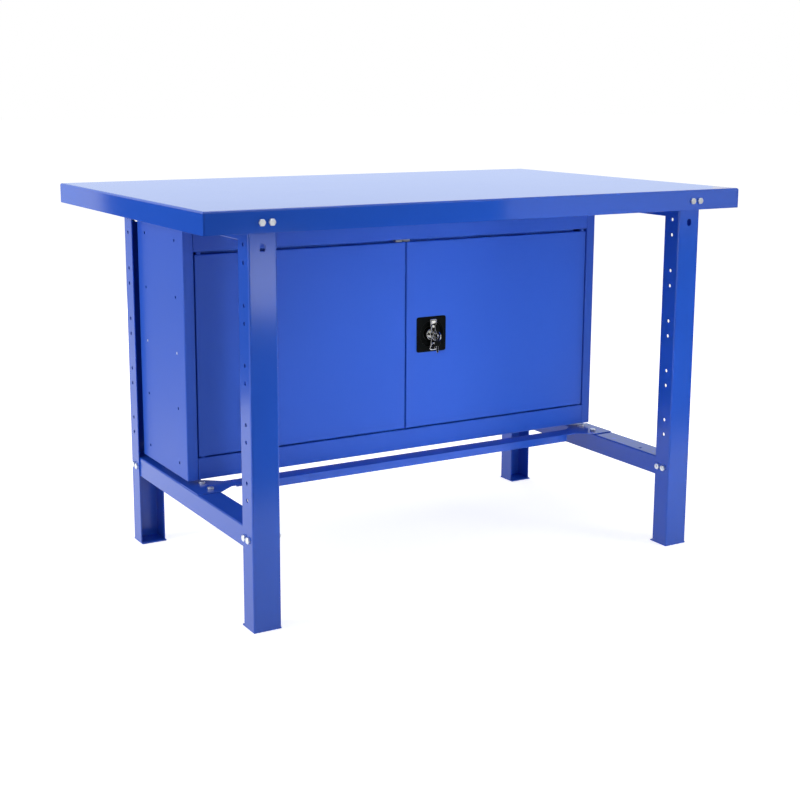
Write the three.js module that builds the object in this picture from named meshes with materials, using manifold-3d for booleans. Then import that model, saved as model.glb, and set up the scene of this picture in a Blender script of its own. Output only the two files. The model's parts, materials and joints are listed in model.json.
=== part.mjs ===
// Steel workbench with a two-door cabinet hung under its top.
// Millimetres, +Z up, front towards -Y, floor at Z = 0, middle of the footprint at X = 0, Y = 0.
// The footprint counts the bolt heads that stand out of the front.

import * as THREE from 'three';
import { mergeVertices } from 'three/addons/utils/BufferGeometryUtils.js';
import Module from 'manifold-3d';

const wasm = await Module();
wasm.setup();

// Worktop tray and the rails under it
const benchHeight = 840;
const topWidth = 1320;
const topDepth = 858;
const topSheet = 2.5;
const topBend = 4.5;
const skirtHeight = 45;
const cornerSeam = 0.8;
const railThickness = 4;
const railEndInset = 60;

// Legs and feet
const legWidth = 60;
const legDepth = 47;
const legSheet = 2.5;
const legBend = 3.5;
const legEndInset = 98;
const legFrontInset = 20;
const legRearInset = 155;
const footThickness = 3;
const footOverhang = 8;
const holeRadius = 4.2;
const holePairs = 5;
const holePairGap = 35;
const lowestHole = 268;
const highestHoleDrop = 69;
const slotWidth = 12;
const slotHeight = 16;
const slotCornerShare = 0.46;
const slotBelowTop = 75;

// Stretchers and tie beam
const stretcherHeight = 44;
const stretcherSheet = 2;
const stretcherBend = 3;
const lowerStretcherTop = 210;
const upperStretcherDrop = 64;
const fitGap = 0.3;
const spareHoleSetback = 121;
const tieDepth = 44;
const tieFlangeHeight = 18;
const tieSheet = 2;
const tieCabinetGap = 7;
const tieFlare = 28;
const tieFlareLength = 35;
const tieFlangeEnd = 30;

// Bolts
const boltRadius = 4;
const boltHoleRadius = 4.5;
const boltAcrossFlats = 13;
const boltHeadHeight = 5.3;
const nutHeight = 6.5;
const nutPlate = 6;
const nutPlateWidth = 18;
const boltTail = 4;
const spacerEndMargin = 2;
const spacerSideMargin = 3;
const sleeveRadius = 8;
const topBoltPitch = 21;
const topBoltDrop = 25;
const stretcherBoltInset = 18;
const stretcherBoltPitch = 19;
const tieBoltPitch = 48;
const tieBoltOffset = 12;

// Cabinet
const cabinetSetback = 381;
const cabinetSideInset = 12;
const cabinetRearGap = 5;
const cabinetRaise = 10;
const cabinetSheet = 1.5;
const cabinetBend = 2.5;
const stileWidth = 25;
const stileReturn = 15;
const rearFlange = 20;
const topRailHeight = 57;
const bottomRailHeight = 48;
const stopGap = 0.5;
const stopLip = 10;
const stopLipEndGap = 22;
const hangerInset = 65;

// Shelf
const shelfHoleRadius = 3.3;
const shelfHoleInset = 46;
const shelfHoleCount = 5;
const lowestShelfHole = 31;
const highestShelfHoleDrop = 35;
const shelfLip = 25;
const shelfFrontGap = 14;
const shelfRearGap = 4;
const shelfSideGap = 2;
const clipWidth = 14;
const clipHeight = 10;
const clipReach = 12;
const clipPinGap = 0.3;

// Doors and hinge pins
const doorDepth = 20;
const doorSheet = 1.5;
const doorBend = 2.5;
const doorLip = 15;
const doorSideGap = 3;
const doorTopGap = 6;
const doorBottomGap = 3;
const doorMiddleGap = 3;
const hingeInset = 10;
const hingeBehindFace = 6;
const pinRadius = 3;
const pinClearance = 0.25;
const collarRadius = 5.5;
const pinReach = 12;

// Lock
const lockFromEdge = 67.5;
const plateWidth = 80;
const plateHeight = 84;
const plateThickness = 2.5;
const plateCorner = 5;
const dishRadius = 31.5;
const dishWall = 2;
const dishDepth = 8;
const dishClearance = 0.5;
const spindleRadius = 6;
const hubRadius = 19;
const hubTaper = 5;
const bossRadius = 9.5;
const wingReach = 37;
const wingNeck = 4;
const wingTip = 9;
const wingEndRound = 4;
const wingThickness = 8;
const wingPlateGap = 1.5;
const cylinderRadius = 7;
const cylinderLength = 14;
const keyThickness = 2.2;
const keyWidth = 8;
const keySlotDepth = 12;
const keyShank = 12;
const bowRadius = 10;
const bowHole = 3.5;
const ringRadius = 8.5;
const ringWire = 0.7;
const ringGap = 0.4;
const headWidth = 15;
const headHeight = 15;
const headThickness = 4;
const headCorner = 5;
const spareBladeWidth = 6;
const spareBladeLength = 17;
const spareBladeThickness = 2;
const spareBladeSeat = 2;
const spareBowGap = 1;
const spareShift = 5;

// Cam disc and locking rods
const rodWidth = 12;
const rodThickness = 3;
const rodLipGap = 1.5;
const rodTravel = 20;
const rodTurn = Math.PI / 2;
const camThickness = 3;
const camGap = 0.8;
const camPinRadius = 3;
const camSlotGap = 0.5;
const camNearRadius = 14;
const camRim = 5;
const rodEndMargin = 6;
const rodSlotGap = 0.5;
const guideDistance = 130;
const guideHeight = 16;
const guideFoot = 12;
const guideGap = 0.5;

// Catch over the doors
const catchWidth = 38;
const catchDepth = 12;
const catchBase = 1.5;
const catchPoleWidth = 17;
const catchPoleHeight = 3.2;
const catchShift = 9;

const arcSteps = 4;
const roundSides = 12;
const boltSides = 8;
const hexSides = 6;
const pinSides = 16;
const wireSides = 6;
const weldReach = 1e-4;
const edgeOverrun = 1;

// Places worked out from the driving sizes
const frontY = (boltHeadHeight - topDepth) / 2;
const rearY = frontY + topDepth;
const halfWidth = topWidth / 2;
const sheetUnderside = benchHeight - topSheet;
const skirtBottom = benchHeight - skirtHeight;
const legOuterX = halfWidth - legEndInset;
const legX = legOuterX - legWidth / 2;
const frontLegFace = frontY + legFrontInset;
const rearLegFace = rearY - legRearInset;
const stretcherWidth = legWidth - 2 * legSheet - 2 * fitGap;
const upperStretcherBottom = benchHeight - upperStretcherDrop;
const lowerBoltZ = lowerStretcherTop - stretcherHeight / 2;
const upperBoltZ = upperStretcherBottom + stretcherHeight / 2;
const topBoltZ = benchHeight - topBoltDrop;
const highestPair = benchHeight - highestHoleDrop - holePairGap;
const holePitch = (highestPair - lowestHole) / (holePairs - 1);
const topBoltX = [-topBoltPitch / 2, topBoltPitch / 2];
const stretcherBoltInsets = [stretcherBoltInset, stretcherBoltInset + stretcherBoltPitch];
const railBottom = skirtBottom + topSheet;

const cabinetFront = frontY + cabinetSetback;
const cabinetHalf = legOuterX - cabinetSideInset;
const cabinetRear = rearLegFace - legDepth - cabinetRearGap;
const cabinetBottom = lowerStretcherTop + cabinetRaise;
const cabinetTop = upperStretcherBottom;
const sideInner = cabinetHalf - cabinetSheet;
const stileInner = cabinetHalf - stileWidth;
const panelHalf = sideInner - fitGap;
const backFront = cabinetRear - 2 * cabinetSheet - fitGap;
const flangeRear = backFront - fitGap;
const topRailBottom = cabinetTop - topRailHeight;
const bottomRailTop = cabinetBottom + bottomRailHeight;
const hangerY = [cabinetFront + hangerInset, cabinetRear - hangerInset];
const shelfHoleY = [cabinetFront + shelfHoleInset, cabinetRear - shelfHoleInset];
const shelfHoleSpan = cabinetTop - cabinetBottom - lowestShelfHole - highestShelfHoleDrop;
const shelfHolePitch = shelfHoleSpan / (shelfHoleCount - 1);
const shelfHoleZ = (index) => cabinetBottom + lowestShelfHole + index * shelfHolePitch;
const clipZ = shelfHoleZ(Math.floor(shelfHoleCount / 2));

const tieRear = cabinetFront - tieCabinetGap;
const tieY = tieRear - tieDepth / 2;
const tieTop = lowerStretcherTop + tieSheet;
const tieBoltX = legX - tieBoltOffset;

const doorOuter = stileInner - doorSideGap;
const doorInner = doorMiddleGap / 2;
const doorTop = topRailBottom - doorTopGap;
const doorBottom = bottomRailTop + doorBottomGap;
const doorRear = cabinetFront + doorDepth;
const hingeX = doorOuter - hingeInset;
const hingeY = cabinetFront + hingeBehindFace;

const lockX = doorInner + lockFromEdge;
const lockZ = (doorTop + doorBottom) / 2;
const plateFace = cabinetFront - plateThickness;
const dishFloor = plateFace + plateThickness + dishDepth - dishWall;
const hubBack = dishFloor - fitGap;
const wingBack = plateFace - wingPlateGap;
const hubFront = wingBack - wingThickness;
const rodFront = doorRear - doorSheet - rodLipGap - rodThickness;
const rodBack = rodFront + rodThickness;
const camBack = rodFront - camGap;
const camFront = camBack - camThickness;
const camFarRadius = camNearRadius + rodTravel;
const camRadius = camFarRadius + camPinRadius + camSlotGap + camRim;

const blue = new THREE.MeshStandardMaterial({ color: 0x3358c8, roughness: 0.28, metalness: 0.0 });
const zinc = new THREE.MeshStandardMaterial({ color: 0xc4c8ca, roughness: 0.35, metalness: 1.0 });
const chrome = new THREE.MeshStandardMaterial({ color: 0xd8dadc, roughness: 0.12, metalness: 1.0 });
const black = new THREE.MeshStandardMaterial({ color: 0x17181a, roughness: 0.4, metalness: 0.0 });

const axisX = new THREE.Vector3(1, 0, 0);
const axisY = new THREE.Vector3(0, 1, 0);
const axisZ = new THREE.Vector3(0, 0, 1);

// A closed three.js geometry as a solid that can be joined and cut.
function solid(geometry) {
  const bare = geometry.clone();
  bare.deleteAttribute('normal');
  bare.deleteAttribute('uv');
  const merged = mergeVertices(bare, weldReach);
  const vertProperties = new Float32Array(merged.attributes.position.array);
  const triVerts = new Uint32Array(merged.index.array);
  return new wasm.Manifold(new wasm.Mesh({ numProp: 3, vertProperties, triVerts }));
}

// The solid back as a geometry for a mesh.
function toGeometry(body) {
  const mesh = body.getMesh();
  const geometry = new THREE.BufferGeometry();
  geometry.setAttribute('position', new THREE.BufferAttribute(mesh.vertProperties, 3));
  geometry.setIndex(new THREE.BufferAttribute(mesh.triVerts, 1));
  geometry.computeVertexNormals();
  return geometry;
}

function block(low, high) {
  const size = high.map((value, axis) => value - low[axis]);
  const geometry = new THREE.BoxGeometry(...size);
  geometry.translate(...size.map((value, axis) => low[axis] + value / 2));
  return solid(geometry);
}

// A straight round bar, or a prism with few sides, between two points.
function bar(start, end, radius, sides = roundSides) {
  const from = new THREE.Vector3(...start);
  const along = new THREE.Vector3(...end).sub(from);
  const geometry = new THREE.CylinderGeometry(radius, radius, along.length(), sides);
  const turn = new THREE.Quaternion().setFromUnitVectors(axisY, along.clone().normalize());
  geometry.applyQuaternion(turn);
  geometry.translate(...from.addScaledVector(along, 0.5).toArray());
  return solid(geometry);
}

// A section drawn on the plane of two axes, pushed along their cross product from the origin point.
function extrude(shape, length, across, up, origin) {
  const options = { depth: length, bevelEnabled: false, curveSegments: arcSteps };
  const geometry = new THREE.ExtrudeGeometry(shape, options);
  const along = new THREE.Vector3().crossVectors(across, up);
  const frame = new THREE.Matrix4().makeBasis(across, up, along);
  geometry.applyMatrix4(frame.setPosition(...origin));
  return solid(geometry);
}

function polygon(points) {
  return new THREE.Shape(points.map(([x, y]) => new THREE.Vector2(x, y)));
}

// A U section: the web lies on y = 0 and the flanges stand towards +y, with rounded bends.
function channelShape(width, depth, sheet, bend) {
  const half = width / 2;
  const shape = new THREE.Shape();
  shape.moveTo(-half + sheet, depth);
  shape.lineTo(-half, depth);
  shape.absarc(-half + bend, bend, bend, Math.PI, 1.5 * Math.PI, false);
  shape.absarc(half - bend, bend, bend, 1.5 * Math.PI, 2 * Math.PI, false);
  shape.lineTo(half, depth);
  shape.lineTo(half - sheet, depth);
  shape.absarc(half - bend, bend, bend - sheet, 0, -0.5 * Math.PI, true);
  shape.absarc(-half + bend, bend, bend - sheet, 1.5 * Math.PI, Math.PI, true);
  shape.closePath();
  return shape;
}

// A folded sheet: the path is one face, the sheet lies to its left, and each bend is rounded outside.
function foldedShape(path, sheet, bend) {
  const points = path.map(([x, y]) => new THREE.Vector2(x, y));
  const normals = points.slice(1).map((point, index) => {
    const direction = point.clone().sub(points[index]).normalize();
    return new THREE.Vector2(-direction.y, direction.x);
  });
  const offset = points.map((point, index) => {
    const before = normals[Math.max(index - 1, 0)];
    const after = normals[Math.min(index, normals.length - 1)];
    const mitre = before.clone().add(after).divideScalar(1 + before.dot(after));
    return point.clone().addScaledVector(mitre, sheet);
  });
  const outerBend = Math.max(bend, Math.abs(sheet));
  const innerBend = outerBend - Math.abs(sheet);
  const turnsAway = (index) => {
    const cross = normals[index - 1].cross(normals[index]);
    return cross * sheet > 0;
  };
  const faceRadius = (index) => (turnsAway(index) ? outerBend : innerBend);
  const offsetRadius = (index) => (turnsAway(index) ? innerBend : outerBend);
  const face = roundedLine(points, faceRadius);
  const far = roundedLine(offset, offsetRadius);
  return new THREE.Shape([...face, ...far.reverse()]);
}

// The points of a bent line whose inner corners are replaced by arcs that touch both legs.
function roundedLine(points, radiusAt) {
  return points.flatMap((point, index) => {
    const radius = index > 0 && index < points.length - 1 ? radiusAt(index) : 0;
    if (radius < weldReach) {
      return [point];
    }
    const back = points[index - 1].clone().sub(point).normalize();
    const ahead = points[index + 1].clone().sub(point).normalize();
    const half = Math.acos(back.dot(ahead)) / 2;
    const centre = back.clone().add(ahead).normalize().multiplyScalar(radius / Math.sin(half)).add(point);
    const sweep = -Math.sign(back.cross(ahead)) * (Math.PI - 2 * half);
    const first = back.multiplyScalar(radius / Math.tan(half)).add(point).sub(centre);
    return Array.from({ length: arcSteps + 1 }, (_, step) => (
      first.clone().rotateAround(new THREE.Vector2(), sweep * step / arcSteps).add(centre)));
  });
}

// A box outline with two corners rounded on its +y side.
function roundedTop(low, high, bottom, top, radius) {
  const shape = new THREE.Shape();
  shape.moveTo(low, bottom);
  shape.lineTo(high, bottom);
  shape.absarc(high - radius, top - radius, radius, 0, 0.5 * Math.PI, false);
  shape.absarc(low + radius, top - radius, radius, 0.5 * Math.PI, Math.PI, false);
  shape.closePath();
  return shape;
}

function roundedRectangle(width, height, radius) {
  const x = width / 2 - radius;
  const y = height / 2 - radius;
  const shape = new THREE.Shape();
  shape.moveTo(-x, -y - radius);
  shape.lineTo(x, -y - radius);
  shape.absarc(x, -y, radius, -0.5 * Math.PI, 0, false);
  shape.absarc(x, y, radius, 0, 0.5 * Math.PI, false);
  shape.absarc(-x, y, radius, 0.5 * Math.PI, Math.PI, false);
  shape.absarc(-x, -y, radius, Math.PI, 1.5 * Math.PI, false);
  return shape;
}

function join(bodies) {
  return bodies.reduce((whole, body) => whole.add(body));
}

function cut(body, tools) {
  return tools.reduce((whole, tool) => whole.subtract(tool), body);
}

const bench = new THREE.Group();

function addPart(name, body, material, place = [0, 0, 0], turn = 0) {
  const mesh = new THREE.Mesh(toGeometry(body), material);
  mesh.name = name;
  mesh.position.set(...place);
  mesh.rotation.z = turn;
  bench.add(mesh);
}

const sides = [['left', -1], ['right', 1]];

// A point along a direction from a start point.
function along(start, direction, distance) {
  return start.map((value, axis) => value + direction[axis] * distance);
}

// One bolt: its head stands outside the seat, and its shank runs along the direction.
function bolt(seat, direction, length) {
  const headRadius = boltAcrossFlats / Math.sqrt(3);
  const head = bar(along(seat, direction, -boltHeadHeight), seat, headRadius, hexSides);
  const shankStart = along(seat, direction, -boltHeadHeight / 2);
  return head.add(bar(shankStart, along(seat, direction, length), boltRadius, boltSides));
}

// Cylinders that cut clearance holes right through the sheets at the bolts.
function boltHoles(seats, direction, length) {
  return seats.map((seat) => {
    const start = along(seat, direction, -edgeOverrun);
    return bar(start, along(seat, direction, length), boltHoleRadius, boltSides);
  });
}

// The top sheet's bent edges run on into four skirts, with an open seam between them at each corner.
function makeWorktop() {
  const across = roundedTop(-halfWidth, halfWidth, skirtBottom, benchHeight, topBend);
  const deep = roundedTop(frontY, rearY, skirtBottom, benchHeight, topBend);
  const tray = extrude(across, topDepth, axisX, axisZ, [0, rearY, 0]).intersect(
    extrude(deep, topWidth, axisY, axisZ, [-halfWidth, 0, 0]));
  const farX = halfWidth + edgeOverrun;
  const farFront = frontY - edgeOverrun;
  const farRear = rearY + edgeOverrun;
  const sheet = block([-farX, farFront, sheetUnderside], [farX, farRear, benchHeight + edgeOverrun]);
  addPart('worktop', tray.intersect(sheet), blue);
  const skirt = (x, y) => tray.intersect(
    block([x[0], y[0], skirtBottom - edgeOverrun], [x[1], y[1], sheetUnderside]));
  const innerX = halfWidth - topSheet;
  const seamX = innerX - cornerSeam;
  const seats = sides.flatMap(([, side]) => topBoltX.map((x) => [side * legX + x, frontY, topBoltZ]));
  const holes = boltHoles(seats, [0, 1, 0], topSheet + edgeOverrun);
  const front = skirt([-seamX, seamX], [farFront, frontY + topSheet]);
  addPart('worktop_skirt_front', cut(front, holes), blue);
  addPart('worktop_skirt_rear', skirt([-seamX, seamX], [rearY - topSheet, farRear]), blue);
  addPart('worktop_skirt_left', skirt([-farX, -innerX], [farFront, farRear]), blue);
  addPart('worktop_skirt_right', skirt([innerX, farX], [farFront, farRear]), blue);
}

// Flat bars under the worktop's sheet that bear on the legs and take their bolts.
function makeRails() {
  const halfLength = halfWidth - railEndInset;
  for (const [name, start] of [['front', frontLegFace - railThickness], ['rear', rearLegFace]]) {
    const flat = block(
      [-halfLength, start, railBottom], [halfLength, start + railThickness, sheetUnderside]);
    const seats = sides.flatMap(([, side]) => topBoltX.map((x) => [side * legX + x, start, topBoltZ]));
    addPart(`${name}_rail`, cut(flat, boltHoles(seats, [0, 1, 0], railThickness + edgeOverrun)), blue);
  }
}

// One leg about its own middle: the web's outer face is on y = 0 and the channel opens towards +y. Its foot
// plate is welded on and sticks out of the open side.
function legBody() {
  const section = channelShape(legWidth, legDepth, legSheet, legBend);
  const channel = extrude(section, sheetUnderside, axisX, axisY, [0, 0, 0]);
  const foot = block([-legWidth / 2, 0, 0], [legWidth / 2, legDepth + footOverhang, footThickness]);
  const reach = legWidth / 2 + edgeOverrun;
  const tools = [];
  for (let pair = 0; pair < holePairs; pair += 1) {
    for (const step of [0, holePairGap]) {
      const z = lowestHole + pair * holePitch + step;
      tools.push(bar([-reach, legDepth / 2, z], [reach, legDepth / 2, z], holeRadius));
    }
  }
  for (const z of [lowerBoltZ, upperBoltZ]) {
    for (const y of stretcherBoltInsets) {
      tools.push(bar([-reach, y, z], [reach, y, z], boltHoleRadius, boltSides));
    }
  }
  tools.push(...boltHoles(topBoltX.map((x) => [x, 0, topBoltZ]), [0, 1, 0], legSheet + edgeOverrun));
  const slot = roundedRectangle(slotWidth, slotHeight, slotWidth * slotCornerShare);
  const slotStart = [0, legSheet + edgeOverrun, benchHeight - slotBelowTop];
  tools.push(extrude(slot, legSheet + 2 * edgeOverrun, axisX, axisZ, slotStart));
  return cut(channel.add(foot), tools);
}

function makeLegs() {
  const leg = legBody();
  for (const [sideName, side] of sides) {
    addPart(`leg_front_${sideName}`, leg, blue, [side * legX, frontLegFace, 0]);
    addPart(`leg_rear_${sideName}`, leg, blue, [side * legX, rearLegFace, 0], Math.PI);
  }
}

// Stretchers fit inside the leg channels: the lower ones open downwards, the upper ones upwards.
function makeStretchers() {
  const section = channelShape(stretcherWidth, stretcherHeight, stretcherSheet, stretcherBend);
  const startY = frontLegFace + legSheet + fitGap;
  const endY = rearLegFace - legSheet - fitGap;
  const reach = stretcherWidth / 2 + edgeOverrun;
  const boltY = stretcherBoltInsets.flatMap((inset) => [frontLegFace + inset, rearLegFace - inset]);
  for (const [sideName, side] of sides) {
    const x = side * legX;
    const crossHoles = (z) => boltY.map((y) => (
      bar([x - reach, y, z], [x + reach, y, z], boltHoleRadius, boltSides)));
    const down = axisZ.clone().negate();
    const lower = extrude(section, endY - startY, axisX, down, [x, startY, lowerStretcherTop]);
    const topHoleY = [tieY - tieBoltPitch / 2, tieY + tieBoltPitch / 2, startY + spareHoleSetback];
    const topSeats = topHoleY.map((y) => [side * tieBoltX, y, lowerStretcherTop]);
    const topHoles = boltHoles(topSeats, [0, 0, -1], stretcherSheet + edgeOverrun);
    addPart(`lower_stretcher_${sideName}`, cut(lower, [...crossHoles(lowerBoltZ), ...topHoles]), blue);
    const upper = extrude(section, endY - startY, axisX, axisZ, [x, endY, upperStretcherBottom]);
    const webSeats = hangerY.map((y) => [x, y, upperStretcherBottom]);
    const webHoles = boltHoles(webSeats, [0, 0, 1], stretcherSheet + edgeOverrun);
    addPart(`upper_stretcher_${sideName}`, cut(upper, [...crossHoles(upperBoltZ), ...webHoles]), blue);
  }
}

// The tie beam lies on the lower stretchers and widens to a plate at each end.
function makeTieBeam() {
  const endX = legX + stretcherWidth / 2;
  const plateX = legX - stretcherWidth / 2;
  const neckX = plateX - tieFlareLength;
  const front = tieY - tieDepth / 2;
  const outline = polygon([
    [-endX, front - tieFlare], [-plateX, front - tieFlare], [-neckX, front],
    [neckX, front], [plateX, front - tieFlare], [endX, front - tieFlare],
    [endX, tieRear + tieFlare], [plateX, tieRear + tieFlare], [neckX, tieRear],
    [-neckX, tieRear], [-plateX, tieRear + tieFlare], [-endX, tieRear + tieFlare],
  ]);
  const web = extrude(outline, tieSheet, axisX, axisY, [0, 0, lowerStretcherTop]);
  const flangeX = neckX - tieFlangeEnd;
  const flangeBottom = tieTop - tieFlangeHeight;
  const frontFlange = block([-flangeX, front, flangeBottom], [flangeX, front + tieSheet, tieTop]);
  const rearFlangeBody = block([-flangeX, tieRear - tieSheet, flangeBottom], [flangeX, tieRear, tieTop]);
  const seats = sides.flatMap(([, side]) => [-1, 1].map((step) => (
    [side * tieBoltX, tieY + step * tieBoltPitch / 2, tieTop])));
  const holes = boltHoles(seats, [0, 0, -1], tieSheet + edgeOverrun);
  addPart('tie_beam', cut(join([web, frontFlange, rearFlangeBody]), holes), blue);
}

// Bolts stand in pairs that share a nut plate or a crush spacer. Sleeves keep the front skirt off its rail.
function makeBolts() {
  for (const [sideName, side] of sides) {
    const plateX = nutPlateWidth / 2 + topBoltPitch / 2;
    const half = nutPlateWidth / 2;
    const x = side * legX;
    const frontNutY = frontLegFace + legSheet;
    const frontLength = legFrontInset + legSheet + nutPlate + boltTail;
    const frontPlate = block(
      [x - plateX, frontNutY, topBoltZ - half], [x + plateX, frontNutY + nutPlate, topBoltZ + half]);
    const frontBolts = topBoltX.map((step) => bolt([x + step, frontY, topBoltZ], [0, 1, 0], frontLength));
    const sleeveEnds = [frontY + topSheet, frontLegFace - railThickness];
    const sleeves = topBoltX.map((step) => {
      const [start, end] = sleeveEnds.map((y) => [x + step, y, topBoltZ]);
      return bar(start, end, sleeveRadius);
    });
    addPart(`worktop_bolts_front_${sideName}`, join([frontPlate, ...frontBolts, ...sleeves]), zinc);
    const rearNutY = rearLegFace - legSheet;
    const rearLength = railThickness + legSheet + nutPlate + boltTail;
    const rearPlate = block(
      [x - plateX, rearNutY - nutPlate, topBoltZ - half], [x + plateX, rearNutY, topBoltZ + half]);
    const rearSeat = rearLegFace + railThickness;
    const rearBolts = topBoltX.map((step) => bolt([x + step, rearSeat, topBoltZ], [0, -1, 0], rearLength));
    addPart(`worktop_bolts_rear_${sideName}`, join([rearPlate, ...rearBolts]), zinc);

    for (const [levelName, z] of [['lower', lowerBoltZ], ['upper', upperBoltZ]]) {
      for (const [endName, face, inward] of [['front', frontLegFace, 1], ['rear', rearLegFace, -1]]) {
        const boltY = stretcherBoltInsets.map((inset) => face + inward * inset);
        const bolts = boltY.map((y) => throughBolt([side * legOuterX, y, z], [-side, 0, 0], legWidth));
        const spacerX = stretcherWidth / 2 - stretcherSheet - fitGap;
        const middleY = (boltY[0] + boltY[1]) / 2;
        const spacerY = stretcherBoltPitch / 2 + boltRadius + spacerEndMargin;
        const spacerZ = boltRadius + spacerSideMargin;
        const spacer = block(
          [x - spacerX, middleY - spacerY, z - spacerZ], [x + spacerX, middleY + spacerY, z + spacerZ]);
        addPart(`${levelName}_bolts_${endName}_${sideName}`, join([spacer, ...bolts]), zinc);
      }
    }

    const tieSeats = [-1, 1].map((step) => [side * tieBoltX, tieY + step * tieBoltPitch / 2, tieTop]);
    const tiePlateTop = lowerStretcherTop - stretcherSheet;
    const tieLength = tieSheet + stretcherSheet + nutPlate + boltTail;
    const tiePlateY = tieBoltPitch / 2 + half;
    const tiePlate = block(
      [side * tieBoltX - half, tieY - tiePlateY, tiePlateTop - nutPlate],
      [side * tieBoltX + half, tieY + tiePlateY, tiePlateTop]);
    const tieBolts = tieSeats.map((seat) => bolt(seat, [0, 0, -1], tieLength));
    addPart(`tie_bolts_${sideName}`, join([tiePlate, ...tieBolts]), zinc);

    const hangerSeats = hangerY.map((y) => [x, y, cabinetTop - cabinetSheet]);
    const hangerPlateBottom = upperStretcherBottom + stretcherSheet;
    const hangerLength = cabinetSheet + stretcherSheet + nutPlate + boltTail;
    const hangerPlate = block(
      [x - half, hangerY[0] - half, hangerPlateBottom],
      [x + half, hangerY[1] + half, hangerPlateBottom + nutPlate]);
    const hangerBolts = hangerSeats.map((seat) => bolt(seat, [0, 0, 1], hangerLength));
    addPart(`hanger_bolts_${sideName}`, join([hangerPlate, ...hangerBolts]), zinc);
  }
}

// A bolt through a whole channel, with its nut on the far face.
function throughBolt(seat, direction, grip) {
  const nutRadius = boltAcrossFlats / Math.sqrt(3);
  const nutStart = along(seat, direction, grip);
  const nut = bar(nutStart, along(nutStart, direction, nutHeight), nutRadius, hexSides);
  return bolt(seat, direction, grip + nutHeight + boltTail / 2).add(nut);
}

// Cabinet sides: one sheet folded into the front stile and the rear flange.
function makeCabinetSides() {
  const returnEnd = cabinetFront + stileReturn;
  const rearFlangeEnd = cabinetHalf - rearFlange;
  for (const [sideName, side] of sides) {
    const path = [
      [side * stileInner, returnEnd], [side * stileInner, cabinetFront], [side * cabinetHalf, cabinetFront],
      [side * cabinetHalf, cabinetRear], [side * rearFlangeEnd, cabinetRear],
    ];
    const section = foldedShape(path, side * cabinetSheet, cabinetBend);
    const body = extrude(section, cabinetTop - cabinetBottom, axisX, axisY, [0, 0, cabinetBottom]);
    const holes = [];
    for (const y of shelfHoleY) {
      for (let index = 0; index < shelfHoleCount; index += 1) {
        const z = shelfHoleZ(index);
        const start = [side * (cabinetHalf + edgeOverrun), y, z];
        holes.push(bar(start, [side * (sideInner - edgeOverrun), y, z], shelfHoleRadius));
      }
    }
    addPart(`cabinet_side_${sideName}`, cut(body, holes), blue);
  }
}

// A panel and its front rail, folded from one sheet, with a lip that stops the doors.
function railPanel(level, railEdge, inward) {
  const railReturnEnd = doorRear + stopGap + cabinetSheet;
  const path = [
    [railReturnEnd, railEdge], [cabinetFront, railEdge], [cabinetFront, level],
    [flangeRear, level], [flangeRear, level + inward * rearFlange],
  ];
  const section = foldedShape(path, inward * cabinetSheet, cabinetBend);
  const railHalf = stileInner - fitGap;
  const folded = extrude(section, 2 * railHalf, axisY, axisZ, [-railHalf, 0, 0]);
  const zLow = Math.min(level, level + inward * cabinetSheet);
  const wingFront = cabinetFront + stileReturn + fitGap;
  const wings = block([-panelHalf, wingFront, zLow], [panelHalf, flangeRear, zLow + cabinetSheet]);
  const lipHalf = doorOuter - stopLipEndGap;
  const lipEdges = [railEdge + inward * stopLip, railEdge - inward * cabinetSheet].sort((a, b) => a - b);
  const lip = block(
    [-lipHalf, railReturnEnd - cabinetSheet, lipEdges[0]], [lipHalf, railReturnEnd, lipEdges[1]]);
  return join([folded, wings, lip]);
}

function rodSlot(low, high) {
  const gap = rodSlotGap;
  return block(
    [lockX - rodWidth / 2 - gap, rodFront - gap, low], [lockX + rodWidth / 2 + gap, rodBack + gap, high]);
}

function pinHoles(low, high) {
  return sides.map(([, side]) => bar(
    [side * hingeX, hingeY, low], [side * hingeX, hingeY, high], pinRadius + pinClearance));
}

function makeCabinetPanels() {
  const railSkin = cabinetSheet + edgeOverrun;
  const hangerZ = cabinetTop - cabinetSheet;
  const hangerSeats = sides.flatMap(([, side]) => hangerY.map((y) => [side * legX, y, hangerZ]));
  const topTools = [
    ...pinHoles(topRailBottom - edgeOverrun, topRailBottom + railSkin),
    rodSlot(topRailBottom - edgeOverrun, topRailBottom + railSkin),
    ...boltHoles(hangerSeats, [0, 0, 1], railSkin),
  ];
  addPart('cabinet_top', cut(railPanel(cabinetTop, topRailBottom, -1), topTools), blue);
  const bottomTools = [
    ...pinHoles(bottomRailTop - railSkin, bottomRailTop + edgeOverrun),
    rodSlot(bottomRailTop - railSkin, bottomRailTop + edgeOverrun),
  ];
  addPart('cabinet_bottom', cut(railPanel(cabinetBottom, bottomRailTop, 1), bottomTools), blue);
  const back = block(
    [-panelHalf, backFront, cabinetBottom], [panelHalf, backFront + cabinetSheet, cabinetTop]);
  addPart('cabinet_back', back, blue);
}

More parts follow.
